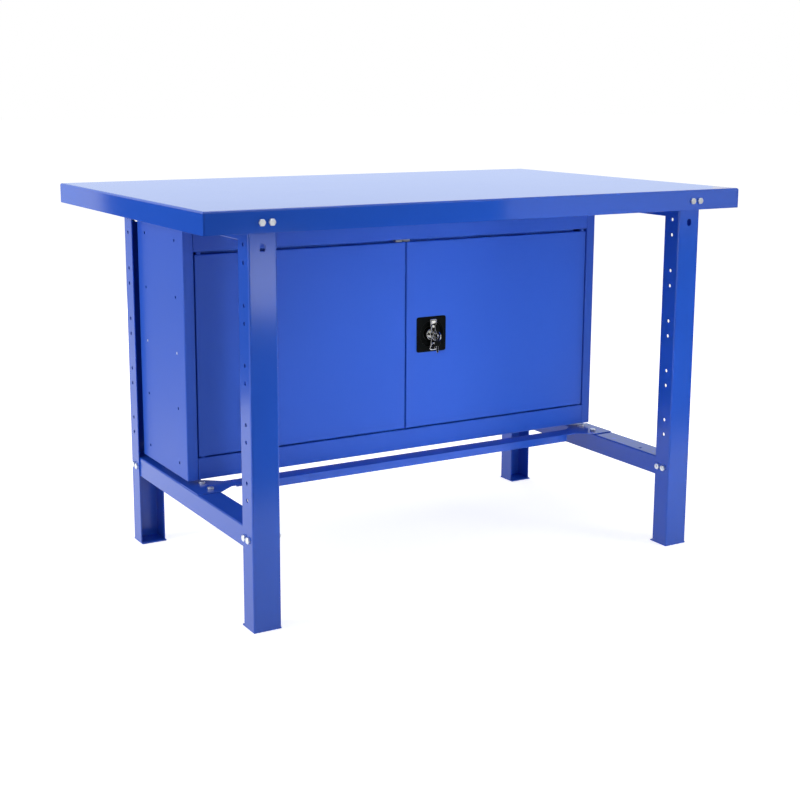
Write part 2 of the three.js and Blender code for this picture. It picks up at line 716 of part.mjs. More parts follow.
function makeShelf() {
  const underside = clipZ + clipHeight / 2;
  const front = doorRear + shelfFrontGap;
  const rear = flangeRear - shelfRearGap;
  const top = underside + cabinetSheet;
  const path = [[front, top - shelfLip], [front, top], [rear, top], [rear, top - shelfLip]];
  const section = foldedShape(path, -cabinetSheet, cabinetBend);
  const half = sideInner - shelfSideGap;
  addPart('shelf', extrude(section, 2 * half, axisY, axisZ, [-half, 0, 0]), blue);
  for (const [sideName, side] of sides) {
    for (const [endName, y] of [['front', shelfHoleY[0]], ['rear', shelfHoleY[1]]]) {
      const wall = side * (sideInner - fitGap);
      const x = [wall, wall - side * clipReach].sort((a, b) => a - b);
      const body = block(
        [x[0], y - clipWidth / 2, clipZ - clipHeight / 2], [x[1], y + clipWidth / 2, clipZ + clipHeight / 2]);
      const pegStart = [wall - side * edgeOverrun, y, clipZ];
      const peg = bar(pegStart, [side * cabinetHalf, y, clipZ], shelfHoleRadius - clipPinGap);
      addPart(`shelf_clip_${endName}_${sideName}`, join([body, peg]), zinc);
    }
  }
}

// A door pan: front sheet, four edges and a lip round the back.
function doorBody(side) {
  const x = [side * doorInner, side * doorOuter].sort((a, b) => a - b);
  const wide = roundedTop(x[0], x[1], -doorRear, -cabinetFront, doorBend);
  const tall = roundedTop(doorBottom, doorTop, -doorRear, -cabinetFront, doorBend);
  const forward = axisY.clone().negate();
  const pan = extrude(wide, doorTop - doorBottom, axisX, forward, [0, 0, doorTop]).intersect(
    extrude(tall, doorOuter - doorInner, axisZ, forward, [x[0], 0, 0]));
  const hollow = block(
    [x[0] + doorSheet, cabinetFront + doorSheet, doorBottom + doorSheet],
    [x[1] - doorSheet, doorRear - doorSheet, doorTop - doorSheet]);
  const mouth = block(
    [x[0] + doorLip, doorRear - doorSheet - edgeOverrun, doorBottom + doorLip],
    [x[1] - doorLip, doorRear + edgeOverrun, doorTop - doorLip]);
  const pinHole = bar(
    [side * hingeX, hingeY, doorBottom - edgeOverrun], [side * hingeX, hingeY, doorTop + edgeOverrun],
    pinRadius + pinClearance);
  return cut(pan, [hollow, mouth, pinHole]);
}

function makeDoors() {
  addPart('door_left', doorBody(-1), blue);
  const dishHole = bar(
    [lockX, cabinetFront - edgeOverrun, lockZ], [lockX, cabinetFront + doorSheet + edgeOverrun, lockZ],
    dishRadius + dishWall + dishClearance, 2 * roundSides);
  const slots = [
    rodSlot(doorBottom - edgeOverrun, doorBottom + doorSheet + edgeOverrun),
    rodSlot(doorTop - doorSheet - edgeOverrun, doorTop + edgeOverrun),
  ];
  addPart('door_right', cut(doorBody(1), [dishHole, ...slots]), blue);
  const levels = [
    ['top', doorTop, doorTop - pinReach, topRailBottom + pinReach, topRailBottom],
    ['bottom', bottomRailTop, bottomRailTop - pinReach, doorBottom + pinReach, doorBottom],
  ];
  for (const [sideName, side] of sides) {
    for (const [levelName, gapLow, low, high, gapHigh] of levels) {
      const shaft = bar([side * hingeX, hingeY, low], [side * hingeX, hingeY, high], pinRadius);
      const collar = bar(
        [side * hingeX, hingeY, gapLow + fitGap], [side * hingeX, hingeY, gapHigh - fitGap], collarRadius);
      addPart(`hinge_pin_${levelName}_${sideName}`, join([shaft, collar]), blue);
    }
  }
}

function makeCatch() {
  const front = cabinetFront + doorSheet;
  const middle = -catchShift;
  const base = block(
    [middle - catchWidth / 2, front, topRailBottom - catchBase],
    [middle + catchWidth / 2, front + catchDepth, topRailBottom]);
  const poleBottom = topRailBottom - catchBase - catchPoleHeight;
  const ends = [middle - catchWidth / 2, middle + catchWidth / 2 - catchPoleWidth];
  const poles = ends.map((x) => block(
    [x, front, poleBottom], [x + catchPoleWidth, front + catchDepth, topRailBottom - catchBase / 2]));
  addPart('door_catch', join([base, ...poles]), zinc);
}

function lockBar(front, back, radius, sidesCount = 2 * roundSides) {
  return bar([lockX, front, lockZ], [lockX, back, lockZ], radius, sidesCount);
}

// A round piece about the lock's axis that grows evenly from one radius to another.
function coneBar(front, back, frontRadius, backRadius) {
  const geometry = new THREE.CylinderGeometry(backRadius, frontRadius, back - front, 2 * roundSides);
  geometry.translate(lockX, (front + back) / 2, lockZ);
  return solid(geometry);
}

// The wing handle's outline: narrow at the middle and widening to a rounded end at the top and the bottom.
function wingOutline() {
  const shoulder = wingReach - wingEndRound;
  const tip = wingTip - wingEndRound;
  const shape = new THREE.Shape();
  shape.moveTo(wingNeck, 0);
  shape.lineTo(wingTip, shoulder);
  shape.absarc(tip, shoulder, wingEndRound, 0, 0.5 * Math.PI, false);
  shape.absarc(-tip, shoulder, wingEndRound, 0.5 * Math.PI, Math.PI, false);
  shape.lineTo(-wingNeck, 0);
  shape.lineTo(-wingTip, -shoulder);
  shape.absarc(-tip, -shoulder, wingEndRound, Math.PI, 1.5 * Math.PI, false);
  shape.absarc(tip, -shoulder, wingEndRound, 1.5 * Math.PI, 2 * Math.PI, false);
  shape.closePath();
  return shape;
}

function makeLock() {
  const outline = roundedRectangle(plateWidth, plateHeight, plateCorner);
  const panel = extrude(outline, plateThickness, axisX, axisZ, [lockX, cabinetFront, lockZ]);
  const cupBack = dishFloor + dishWall;
  const cup = lockBar(cabinetFront - dishWall / 2, cupBack, dishRadius + dishWall);
  const dish = lockBar(plateFace - edgeOverrun, dishFloor, dishRadius);
  const spindleHole = lockBar(dishFloor - edgeOverrun, cupBack + edgeOverrun, spindleRadius + fitGap);
  addPart('lock_plate', cut(join([panel, cup]), [dish, spindleHole]), black);

  const wing = wingOutline();
  const wings = extrude(wing, wingThickness, axisX, axisZ, [lockX, wingBack, lockZ]);
  const hub = coneBar(wingBack - edgeOverrun, hubBack, hubRadius - hubTaper, hubRadius);
  const boss = lockBar(hubFront, wingBack, bossRadius);
  const spindle = lockBar(hubBack - edgeOverrun, rodBack, spindleRadius);
  const bore = lockBar(hubFront - edgeOverrun, hubFront + cylinderLength, cylinderRadius + fitGap);
  addPart('lock_handle', cut(join([wings, hub, boss, spindle]), [bore]), chrome);

  const plugFront = hubFront - fitGap;
  const plug = lockBar(plugFront, hubFront + cylinderLength - fitGap, cylinderRadius);
  const slotX = keyThickness / 2 + fitGap;
  const slotZ = keyWidth / 2 + fitGap;
  const slot = block(
    [lockX - slotX, plugFront - edgeOverrun, lockZ - slotZ],
    [lockX + slotX, plugFront + keySlotDepth, lockZ + slotZ]);
  addPart('lock_cylinder', cut(plug, [slot]), chrome);

  const bladeEnd = plugFront + keySlotDepth - edgeOverrun;
  const bowY = plugFront - keyShank - bowRadius;
  const keyX = [lockX - keyThickness / 2, lockX + keyThickness / 2];
  const blade = block([keyX[0], bowY, lockZ - keyWidth / 2], [keyX[1], bladeEnd, lockZ + keyWidth / 2]);
  const bow = bar([keyX[0], bowY, lockZ], [keyX[1], bowY, lockZ], bowRadius, 2 * roundSides);
  const hole = bar([keyX[0] - edgeOverrun, bowY, lockZ], [keyX[1] + edgeOverrun, bowY, lockZ], bowHole);
  addPart('key', cut(join([blade, bow]), [hole]), chrome);
  makeSpareKey(bowY + bowRadius + spareBowGap + headThickness / 2);
}

// The spare key hangs on a ring round the shank of the key in the lock.
function makeSpareKey(ringY) {
  const ringZ = lockZ + keyWidth / 2 + ringGap - ringRadius + ringWire;
  const torus = new THREE.TorusGeometry(ringRadius, ringWire, wireSides, 2 * roundSides);
  torus.rotateX(Math.PI / 2);
  torus.translate(lockX, ringY, ringZ);
  const headTop = ringZ - ringRadius + ringWire;
  const headShape = roundedRectangle(headWidth, headHeight, headCorner);
  const middle = [lockX + spareShift, ringY + headThickness / 2, headTop - headHeight / 2];
  const head = extrude(headShape, headThickness, axisX, axisZ, middle);
  const bladeTop = headTop - headHeight + spareBladeSeat;
  const halfBlade = spareBladeWidth / 2;
  const halfThick = spareBladeThickness / 2;
  const blade = block(
    [lockX + spareShift - halfBlade, ringY - halfThick, headTop - headHeight - spareBladeLength],
    [lockX + spareShift + halfBlade, ringY + halfThick, bladeTop]);
  addPart('spare_key', join([solid(torus), head, blade]), chrome);
}

// Slot of the cam disc: an even spiral, so a quarter turn moves each rod pin straight by the rod's travel.
function spiralSlot(flip) {
  const halfWidthOfSlot = camPinRadius + camSlotGap;
  const steps = 4 * arcSteps;
  const growth = rodTravel / rodTurn;
  const point = (turn, offset) => {
    const radius = camNearRadius + growth * turn;
    const outward = new THREE.Vector2(-Math.sin(turn), Math.cos(turn));
    const around = new THREE.Vector2(-Math.cos(turn), -Math.sin(turn));
    const normal = outward.clone().multiplyScalar(radius).addScaledVector(around, -growth).normalize();
    return outward.multiplyScalar(radius).addScaledVector(normal, offset).multiplyScalar(flip);
  };
  const turns = Array.from({ length: steps + 1 }, (_, index) => rodTurn * index / steps);
  const outer = turns.map((turn) => point(turn, halfWidthOfSlot));
  const inner = turns.map((turn) => point(turn, -halfWidthOfSlot)).reverse();
  return new THREE.Shape([...outer, ...inner]);
}

function makeCam() {
  const disc = lockBar(camFront, camBack, camRadius, 3 * roundSides);
  const bore = lockBar(camFront - edgeOverrun, camBack + edgeOverrun, spindleRadius + fitGap);
  const tools = [bore];
  for (const flip of [1, -1]) {
    const deep = camThickness + 2 * edgeOverrun;
    tools.push(extrude(spiralSlot(flip), deep, axisX, axisZ, [lockX, camBack + edgeOverrun, lockZ]));
    for (const [turn, radius] of [[0, camNearRadius], [rodTurn, camFarRadius]]) {
      const x = lockX - flip * radius * Math.sin(turn);
      const z = lockZ + flip * radius * Math.cos(turn);
      const start = [x, camFront - edgeOverrun, z];
      tools.push(bar(start, [x, camBack + edgeOverrun, z], camPinRadius + camSlotGap, pinSides));
    }
  }
  addPart('lock_cam', cut(disc, tools), zinc);
}

function makeRods() {
  const x = [lockX - rodWidth / 2, lockX + rodWidth / 2];
  for (const [name, way, end] of [['upper', 1, doorTop - fitGap], ['lower', -1, doorBottom + fitGap]]) {
    const pinZ = lockZ + way * camNearRadius;
    const z = [pinZ - way * rodEndMargin, end].sort((a, b) => a - b);
    const strip = block([x[0], rodFront, z[0]], [x[1], rodBack, z[1]]);
    const pin = bar([lockX, camFront, pinZ], [lockX, rodFront + edgeOverrun, pinZ], camPinRadius, pinSides);
    addPart(`locking_rod_${name}`, join([strip, pin]), zinc);
    makeRodGuide(name, lockZ + way * guideDistance);
  }
}

// A bridge on the back of the door's front sheet that keeps a rod in line.
function makeRodGuide(name, z) {
  const footRear = cabinetFront + 2 * doorSheet;
  const bridge = rodBack + guideGap + doorSheet;
  const half = rodWidth / 2 + guideGap + doorSheet;
  const path = [
    [lockX + half + guideFoot, footRear], [lockX + half, footRear], [lockX + half, bridge],
    [lockX - half, bridge], [lockX - half, footRear], [lockX - half - guideFoot, footRear],
  ];
  const section = foldedShape(path, doorSheet, doorBend);
  const body = extrude(section, guideHeight, axisX, axisY, [0, 0, z - guideHeight / 2]);
  addPart(`rod_guide_${name}`, body, zinc);
}

makeWorktop();
makeRails();
makeLegs();
makeStretchers();
makeTieBeam();
makeBolts();
makeCabinetSides();
makeCabinetPanels();
makeShelf();
makeDoors();
makeCatch();
makeLock();
makeCam();
makeRods();

export default bench;
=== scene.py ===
"""Blue sheet-steel workbench with a two-door cabinet: finishes, fine pieces, light and camera."""
import json
import math

import bmesh
import bpy
import numpy as np
from mathutils import Matrix, Vector


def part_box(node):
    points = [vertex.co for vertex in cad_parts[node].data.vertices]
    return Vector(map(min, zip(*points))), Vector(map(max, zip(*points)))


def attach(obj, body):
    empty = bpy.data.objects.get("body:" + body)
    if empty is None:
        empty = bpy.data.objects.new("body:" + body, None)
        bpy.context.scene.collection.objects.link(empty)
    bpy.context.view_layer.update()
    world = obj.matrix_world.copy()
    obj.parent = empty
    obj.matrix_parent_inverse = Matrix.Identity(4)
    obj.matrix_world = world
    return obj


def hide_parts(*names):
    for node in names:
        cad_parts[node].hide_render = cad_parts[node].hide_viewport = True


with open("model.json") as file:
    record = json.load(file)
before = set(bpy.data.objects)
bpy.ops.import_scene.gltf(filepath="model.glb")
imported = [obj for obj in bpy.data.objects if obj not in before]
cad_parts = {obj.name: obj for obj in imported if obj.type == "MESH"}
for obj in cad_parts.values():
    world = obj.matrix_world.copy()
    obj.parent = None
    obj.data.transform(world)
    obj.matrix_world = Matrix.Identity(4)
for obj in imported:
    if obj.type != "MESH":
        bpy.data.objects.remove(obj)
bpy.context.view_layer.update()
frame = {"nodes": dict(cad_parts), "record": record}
scene = bpy.context.scene

MM = 0.001

# Camera fitted to the bench's corners in the 800 x 800 photograph. The photograph is cropped, so its optical
# axis lies above the middle of the frame, which a small lens shift repeats as far as other views still fit.
CAMERA_PLACE = (-1.6316, -2.7705, 1.0642)
CAMERA_TURN = math.radians(-30.664)
CAMERA_TILT = math.radians(10.778)
CAMERA_ROLL = math.radians(0.251)
FOCAL_PIXELS = 1381.6
OPTICAL_AXIS_PIXEL = (400.0, 350.0)
FRAME_PIXELS = 800


def box(*names):
    """The lowest and the highest corner of the named nodes together, in millimetres."""
    corners = np.array([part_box(name) for name in names]) / MM
    return corners[:, 0].min(axis=0), corners[:, 1].max(axis=0)


def linear(hex_colour):
    """An sRGB hex colour as linear RGBA."""
    channels = [int(hex_colour[i:i + 2], 16) / 255 for i in (1, 3, 5)]
    return (*[c / 12.92 if c <= 0.04045 else ((c + 0.055) / 1.055) ** 2.4 for c in channels], 1.0)


def add_node(tree, kind, inputs=None, **settings):
    """One shader node with its settings. Each input, by name or number, takes a value or a link."""
    made = tree.nodes.new(kind)
    for key, value in settings.items():
        setattr(made, key, value)
    for key, value in (inputs or {}).items():
        if isinstance(value, bpy.types.NodeSocket):
            tree.links.new(value, made.inputs[key])
        else:
            made.inputs[key].default_value = value
    return made


def new_material(name):
    """A node material with its Principled shader and its object coordinates in metres."""
    material = bpy.data.materials.new(name)
    material.use_nodes = True
    tree = material.node_tree
    place = add_node(tree, "ShaderNodeTexCoord").outputs["Object"]
    return material, tree, tree.nodes["Principled BSDF"], place


def vary(tree, shader, tint, colours, wear, roughness):
    """The shader's colour between two sRGB values by one pattern, and its roughness by another."""
    low, high = (linear(colour) for colour in colours)
    blend = add_node(tree, "ShaderNodeMix", {0: tint, 6: low, 7: high}, data_type="RGBA")
    tree.links.new(blend.outputs[2], shader.inputs["Base Color"])
    gloss = {"Value": wear, "To Min": roughness[0], "To Max": roughness[1]}
    gloss = add_node(tree, "ShaderNodeMapRange", gloss)
    tree.links.new(gloss.outputs["Result"], shader.inputs["Roughness"])


def powder_coat(name, roughness):
    """Blue powder coat, baked on folded sheet steel: an even colour with orange peel in its gloss."""
    material, tree, shader, place = new_material(name)
    # Coat thickness drifts over about 300 mm, which shifts the blue by a few per cent.
    drift = add_node(tree, "ShaderNodeTexNoise", {"Vector": place, "Scale": 1 / (300 * MM), "Detail": 2.0})
    # Handling marks of about 150 mm dull the gloss a little.
    marks = add_node(tree, "ShaderNodeTexNoise", {"Vector": place, "Scale": 1 / (150 * MM), "Detail": 3.0})
    vary(tree, shader, drift.outputs["Fac"], ("#2152BE", "#2557C6"), marks.outputs["Fac"], roughness)
    # Orange peel has waves of about 2 mm, drawn at 6 mm so that it shows at this distance.
    peel = add_node(tree, "ShaderNodeTexNoise", {"Vector": place, "Scale": 1 / (6 * MM), "Detail": 1.0})
    bump = {"Height": peel.outputs["Fac"], "Strength": 0.01, "Distance": 0.3 * MM}
    tree.links.new(add_node(tree, "ShaderNodeBump", bump).outputs["Normal"], shader.inputs["Normal"])
    shader.inputs["IOR"].default_value = 1.46
    return material


def zinc_plate():
    """Bright zinc plate on bolts and pressed parts: pale grey metal with cloudy passivation."""
    material, tree, shader, place = new_material("zinc_plated_steel")
    # Passivation clouds are about 8 mm across.
    clouds = add_node(tree, "ShaderNodeTexNoise", {"Vector": place, "Scale": 1 / (8 * MM), "Detail": 3.0})
    cloud = clouds.outputs["Fac"]
    vary(tree, shader, cloud, ("#CDD2D8", "#EAECEE"), cloud, (0.26, 0.42))
    shader.inputs["Metallic"].default_value = 1.0
    return material


def bright_nickel():
    """Polished nickel plate on the handle and keys, with fine handling scratches in its gloss."""
    material, tree, shader, place = new_material("bright_nickel_plate")
    # Scratches are 1 mm apart across the handle and 12 mm long.
    per_metre = (1 / (1 * MM), 1 / (1 * MM), 1 / (12 * MM))
    stretched = add_node(tree, "ShaderNodeMapping", {"Vector": place, "Scale": per_metre})
    scratches = {"Vector": stretched.outputs["Vector"], "Scale": 1.0, "Detail": 3.0}
    scratch = add_node(tree, "ShaderNodeTexNoise", scratches).outputs["Fac"]
    vary(tree, shader, scratch, ("#B4B5B3", "#E2E2DE"), scratch, (0.03, 0.08))
    shader.inputs["Metallic"].default_value = 1.0
    return material


def black_lacquer():
    """Satin black lacquer on the pressed lock plate, with a fine stipple."""
    material, tree, shader, place = new_material("satin_black_lacquer")
    # Stipple grains are about 0.8 mm, drawn at 1.5 mm so that they show.
    grains = {"Vector": place, "Scale": 1 / (1.5 * MM), "Detail": 2.0}
    stipple = add_node(tree, "ShaderNodeTexNoise", grains).outputs["Fac"]
    vary(tree, shader, stipple, ("#050707", "#0E1010"), stipple, (0.32, 0.46))
    shader.inputs["Specular IOR Level"].default_value = 0.08
    bump = {"Height": stipple, "Strength": 0.06, "Distance": 0.3 * MM}
    tree.links.new(add_node(tree, "ShaderNodeBump", bump).outputs["Normal"], shader.inputs["Normal"])
    return material


# The cabinet's coat is satin, the frame's is glossier, and the worktop's is wiped bright.
FINISHES = {
    "blue_paint": powder_coat("satin_blue_powder_coat", (0.40, 0.46)),
    "zinc": zinc_plate(),
    "chrome": bright_nickel(),
    "lock_black": black_lacquer(),
}
FRAME_FINISH = powder_coat("gloss_blue_powder_coat", (0.16, 0.22))
TOP_FINISH = powder_coat("wiped_gloss_blue_powder_coat", (0.08, 0.12))
FRAME_WORDS = ("leg", "stretcher", "beam", "rail")

ROUND = 2 * np.pi
SHARP_FROM = math.radians(40)
SAME_POINT = 0.001
BLOCK_EASE = 0.6
# How far a circle is squared up, as the power in rounded(): lower is squarer.
BLOCK_SQUARE = 0.06
WING_SQUARE = 0.38
PLATE_SQUARE = 0.1075
BLADE_SQUARE = 0.3
HEAD_SQUARE = 0.55


def ring_skin(rings):
    """Quads between closed rings of points, ring by ring, with one face over the first and the last ring."""
    rings = np.asarray(rings, dtype=float)
    index = np.arange(rings.shape[0] * rings.shape[1]).reshape(rings.shape[:2])
    after = np.roll(index, -1, axis=1)
    quads = np.stack([index[:-1], after[:-1], after[1:], index[1:]], axis=-1).reshape(-1, 4)
    return rings.reshape(-1, 3), [*quads.tolist(), index[0][::-1].tolist(), index[-1].tolist()]


def open_skin(rings):
    """The quads of a ring skin alone, for rings that come back to where they began."""
    points, faces = ring_skin(rings)
    return points, faces[:-2]


def piece(name, skins, slot, body, replaced=(), finish=None):
    """One shown piece from skins in millimetres: joined, faced outwards, smooth except at real edges."""
    starts = np.cumsum([0] + [len(points) for points, _ in skins])
    points = np.concatenate([points for points, _ in skins]) * MM
    faces = [[i + start for i in face] for (_, found), start in zip(skins, starts) for face in found]
    mesh = bpy.data.meshes.new(name)
    mesh.from_pydata(points.tolist(), [], faces)
    work = bmesh.new()
    work.from_mesh(mesh)
    bmesh.ops.remove_doubles(work, verts=work.verts, dist=SAME_POINT * MM)
    bmesh.ops.recalc_face_normals(work, faces=work.faces)
    work.to_mesh(mesh)
    work.free()
    mesh.shade_smooth()
    mesh.set_sharp_from_angle(angle=SHARP_FROM)
    mesh.materials.append(finish or FINISHES[slot])
    made = bpy.data.objects.new(name, mesh)
    scene.collection.objects.link(made)
    made.modifiers.new("flat_faces_stay_flat", "WEIGHTED_NORMAL").keep_sharp = True
    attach(made, body)
    if replaced:
        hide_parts(*replaced)


def around(axis, steps):
    """Unit vectors round an axis, at even steps, and the angle of each."""
    along = np.array(axis, dtype=float)
    across = np.cross(along, (0, 0, 1) if abs(along[2]) < 0.9 else (1, 0, 0))
    turn = np.linspace(0, ROUND, steps, endpoint=False)
    return np.cos(turn)[:, None] * across + np.sin(turn)[:, None] * np.cross(along, across), turn


def turned(profile, centre, axis, steps=64):
    """Rings of a surface of revolution: (radius, place along the axis) pairs turned round the axis."""
    circle, _ = around(axis, steps)
    radius, place = np.array(profile, dtype=float).T[:, :, None, None]
    return np.array(centre) + np.array(axis) * place + circle * radius


def rounded(steps, power):
    """A circle's cosine and sine raised to a power below 1, which squares it up into a rounded rectangle."""
    turn = np.linspace(0, ROUND, steps, endpoint=False) + np.pi / steps
    c, s = np.cos(turn), np.sin(turn)
    return np.sign(c) * np.abs(c) ** power, np.sign(s) * np.abs(s) ** power


def eased_block(low, high, ease=BLOCK_EASE):
    """A block along Z: rounded rectangles from end to end, set in by the ease at both ends."""
    low, high = np.array(low, dtype=float), np.array(high, dtype=float)
    middle, half = (low + high) / 2, (high - low) / 2
    cx, cy = rounded(32, BLOCK_SQUARE)
    inset = np.array([ease, 0, 0, ease])[:, None]
    z = np.array([low[2], low[2] + ease, high[2] - ease, high[2]])[:, None]
    x, y = middle[0] + (half[0] - inset) * cx, middle[1] + (half[1] - inset) * cy
    return ring_skin(np.stack([x, y, z + 0 * x], axis=-1))


# The worktop is one folded sheet, in millimetres: the bend's outer radius, the eased edge of the skirt, and
# the seam between two skirts.
SKIRTS = [f"worktop_skirt_{side}" for side in ("front", "rear", "left", "right")]
TRAY_LOW, TRAY_HIGH = box("worktop", *SKIRTS)
SHEET = TRAY_HIGH[2] - box("worktop")[0][2]
BEND = 4.5
EDGE_EASE = 0.5
SEAM_FROM_CORNER = 2.5
SEAM_WIDTH = 0.8
SEAM_DEPTH = 2.0


def make_tray():
    """The worktop as one folded sheet.

    Its section runs from the top face round the bend, down the skirt, round the sheet's edge and back up
    inside. Each point of the section is drawn as a rectangle, set in from the outline by the point's inset,
    at the point's height. Near the corners of the front and rear a narrow V marks the seam of the skirts.
    """
    angle = np.linspace(0, np.pi / 2, 9)
    centre, inner = TRAY_HIGH[2] - BEND, BEND - SHEET
    outer_bend = np.stack([BEND - BEND * np.sin(angle), centre + BEND * np.cos(angle)], axis=1)
    inner_bend = np.stack([BEND - inner * np.cos(angle), centre + inner * np.sin(angle)], axis=1)
    bite = EDGE_EASE * (1 - math.sqrt(0.5))
    outer_edge = np.array([(0, EDGE_EASE), (bite, bite), (EDGE_EASE, 0)])
    inner_edge = (outer_edge * (-1, 1))[::-1] + (SHEET, 0)
    edge = np.concatenate([outer_edge, inner_edge]) + (0, TRAY_LOW[2])
    inset, z = np.concatenate([outer_bend, edge, inner_bend]).T[:, :, None]

    run = np.array([0, *(SEAM_FROM_CORNER + SEAM_WIDTH * np.array([0, 0.5, 1]))])
    run = np.concatenate([run, run[::-1]])
    side = np.repeat([-1, 1], 4)
    seam = SEAM_DEPTH * np.array([0, 0, 1, 0, 0, 1, 0, 0]) * ((z < centre) & (inset < SHEET / 2))
    x = side * (TRAY_HIGH[0] - inset - run)
    front, rear = TRAY_LOW[1] + inset + seam, TRAY_HIGH[1] - inset - seam
    rings_x = np.hstack([x, x[:, ::-1]])
    rings = np.stack([rings_x, np.hstack([front, rear]), z + 0 * rings_x], axis=-1)
    piece("folded_worktop", [ring_skin(rings)], "blue_paint", "bench", ["worktop", *SKIRTS], TOP_FINISH)


# M8 hexagon bolts, in millimetres.
BOLT_FLATS = 13.0
BOLT_HEAD = 5.3
BOLT_RADIUS = 4.0
TIP_RADIUS = 3.4
NUT_HEIGHT = 6.5
NUT_TIP = 2.0
WASHER_FACE = (6.1, 0.4)
# The chamfer of a head or nut: how far below its top, and the largest radius there.
HEAD_CHAMFER = ((1.7, np.inf), (1.0, 6.85), (0.35, 6.2), (0.0, 5.5))
TIP_CHAMFER = 0.6
SHANK_CHAMFER = 0.5
SLEEVE_RADIUS = 8.0
SLEEVE_EASE = 0.4
NUT_PLATE = 6.0
LEG_WALL = 2.5
STRETCHER_WALL = 2.0
SKIRT_BOLT_PITCH = 21.0
LEG_BOLT_PITCH = 19.0
TIE_BOLT_PITCH = 48.0
CRUSH_SPACER = np.array((49.8, 31.0, 14.0))


def hexagon_head(seat, out, height, tip=0.0):
    """A hexagon head or nut that stands on a seat, with a washer face and a turned chamfer.

    The hexagon's radius at an angle is half the width across flats over the cosine of the angle from the
    nearest flat. The chamfer keeps the radius under a cone, and a tip of thread may stand out of a nut.
    """
    circle, turn = around(out, 48)
    hexagon = BOLT_FLATS / 2 / np.cos(np.mod(turn, np.pi / 3) - np.pi / 6)
    washer, rise = WASHER_FACE
    levels = [(0, washer), (rise, washer), (rise, np.inf)]
    levels += [(height - drop, limit) for drop, limit in HEAD_CHAMFER]
    if tip:
        levels += [(height, BOLT_RADIUS), (height + tip - TIP_CHAMFER, BOLT_RADIUS)]
        levels += [(height + tip, TIP_RADIUS)]
    place, limit = np.array(levels).T[:, :, None]
    radius = np.minimum(hexagon, limit)
    return ring_skin(np.array(seat) + np.array(out) * place[:, :, None] + circle * radius[:, :, None])


def shank(seat, into, length):
    """A bolt's shank from its seat, with a small cone at its tip."""
    profile = [(BOLT_RADIUS, 0), (BOLT_RADIUS, length - SHANK_CHAMFER), (TIP_RADIUS, length)]
    return ring_skin(turned(profile, seat, into, 32))


def make_skirt_bolts(side):
    """Bolts through the front skirt, with sleeves between skirt and rail, and their nut plate in the leg."""
    node = f"worktop_bolts_front_{side}"
    low, high = box(node)
    web = box(f"leg_front_{side}")[0][1] + LEG_WALL
    skins = [eased_block((low[0], web, low[2]), (high[0], web + NUT_PLATE, high[2]))]
    middle, seat_y = (low + high) / 2, low[1] + BOLT_HEAD
    rail = box("front_rail")[0][1] - seat_y
    ease = SLEEVE_RADIUS - SLEEVE_EASE
    sleeve = [(BOLT_RADIUS, SHEET), (ease, SHEET), (SLEEVE_RADIUS, SHEET + SLEEVE_EASE)]
    sleeve += [(SLEEVE_RADIUS, rail - SLEEVE_EASE), (ease, rail), (BOLT_RADIUS, rail)]
    for step in (-SKIRT_BOLT_PITCH / 2, SKIRT_BOLT_PITCH / 2):
        seat = (middle[0] + step, seat_y, middle[2])
        skins.append(hexagon_head(seat, (0, -1, 0), BOLT_HEAD))
        skins.append(shank(seat, (0, 1, 0), high[1] - seat_y))
        skins.append(open_skin(turned([*sleeve, sleeve[0]], seat, (0, 1, 0), 32)))
    piece(f"skirt_bolts_{side}", skins, "zinc", "bench", [node])


def make_rail_bolts(side):
    """Bolts through the rear rail, with their nut plate inside the leg's web."""
    node = f"worktop_bolts_rear_{side}"
    low, high = box(node)
    web = box(f"leg_rear_{side}")[1][1] - LEG_WALL
    skins = [eased_block((low[0], web - NUT_PLATE, low[2]), (high[0], web, high[2]))]
    middle, seat_y = (low + high) / 2, high[1] - BOLT_HEAD
    for step in (-SKIRT_BOLT_PITCH / 2, SKIRT_BOLT_PITCH / 2):
        seat = (middle[0] + step, seat_y, middle[2])
        skins.append(hexagon_head(seat, (0, 1, 0), BOLT_HEAD))
        skins.append(shank(seat, (0, -1, 0), seat_y - low[1]))
    piece(f"rail_bolts_{side}", skins, "zinc", "bench", [node])


def make_leg_bolts(level, end, side, out):
    """Bolts across a leg at a stretcher, nuts on their inner ends, round the crush spacer inside the leg."""
    node = f"{level}_bolts_{end}_{side}"
    low, high = box(node)
    leg_low, leg_high = box(f"leg_{end}_{side}")
    middle = np.array(((leg_low[0] + leg_high[0]) / 2, (low[1] + high[1]) / 2, (low[2] + high[2]) / 2))
    half_leg = (leg_high[0] - leg_low[0]) / 2
    skins = [eased_block(middle - CRUSH_SPACER / 2, middle + CRUSH_SPACER / 2)]
    for step in (-LEG_BOLT_PITCH / 2, LEG_BOLT_PITCH / 2):
        seat = middle + (out * half_leg, step, 0)
        nut = middle + (-out * half_leg, step, 0)
        skins.append(hexagon_head(seat, (out, 0, 0), BOLT_HEAD))
        skins.append(hexagon_head(nut, (-out, 0, 0), NUT_HEIGHT, NUT_TIP))
        skins.append(shank(seat, (-out, 0, 0), 2 * half_leg))
    piece(f"{node}_turned", skins, "zinc", "bench", [node])


def make_tie_bolts(side):
    """Bolts down through the tie beam's end plate, with a nut plate under the stretcher's top."""
    node = f"tie_bolts_{side}"
    low, high = box(node)
    under = box(f"lower_stretcher_{side}")[1][2] - STRETCHER_WALL
    skins = [eased_block((low[0], low[1], under - NUT_PLATE), (high[0], high[1], under))]
    middle, seat_z = (low + high) / 2, high[2] - BOLT_HEAD
    for step in (-TIE_BOLT_PITCH / 2, TIE_BOLT_PITCH / 2):
        seat = (middle[0], middle[1] + step, seat_z)
        skins.append(hexagon_head(seat, (0, 0, 1), BOLT_HEAD))
        skins.append(shank(seat, (0, 0, -1), seat_z - low[2]))
    piece(f"{node}_turned", skins, "zinc", "bench", [node])


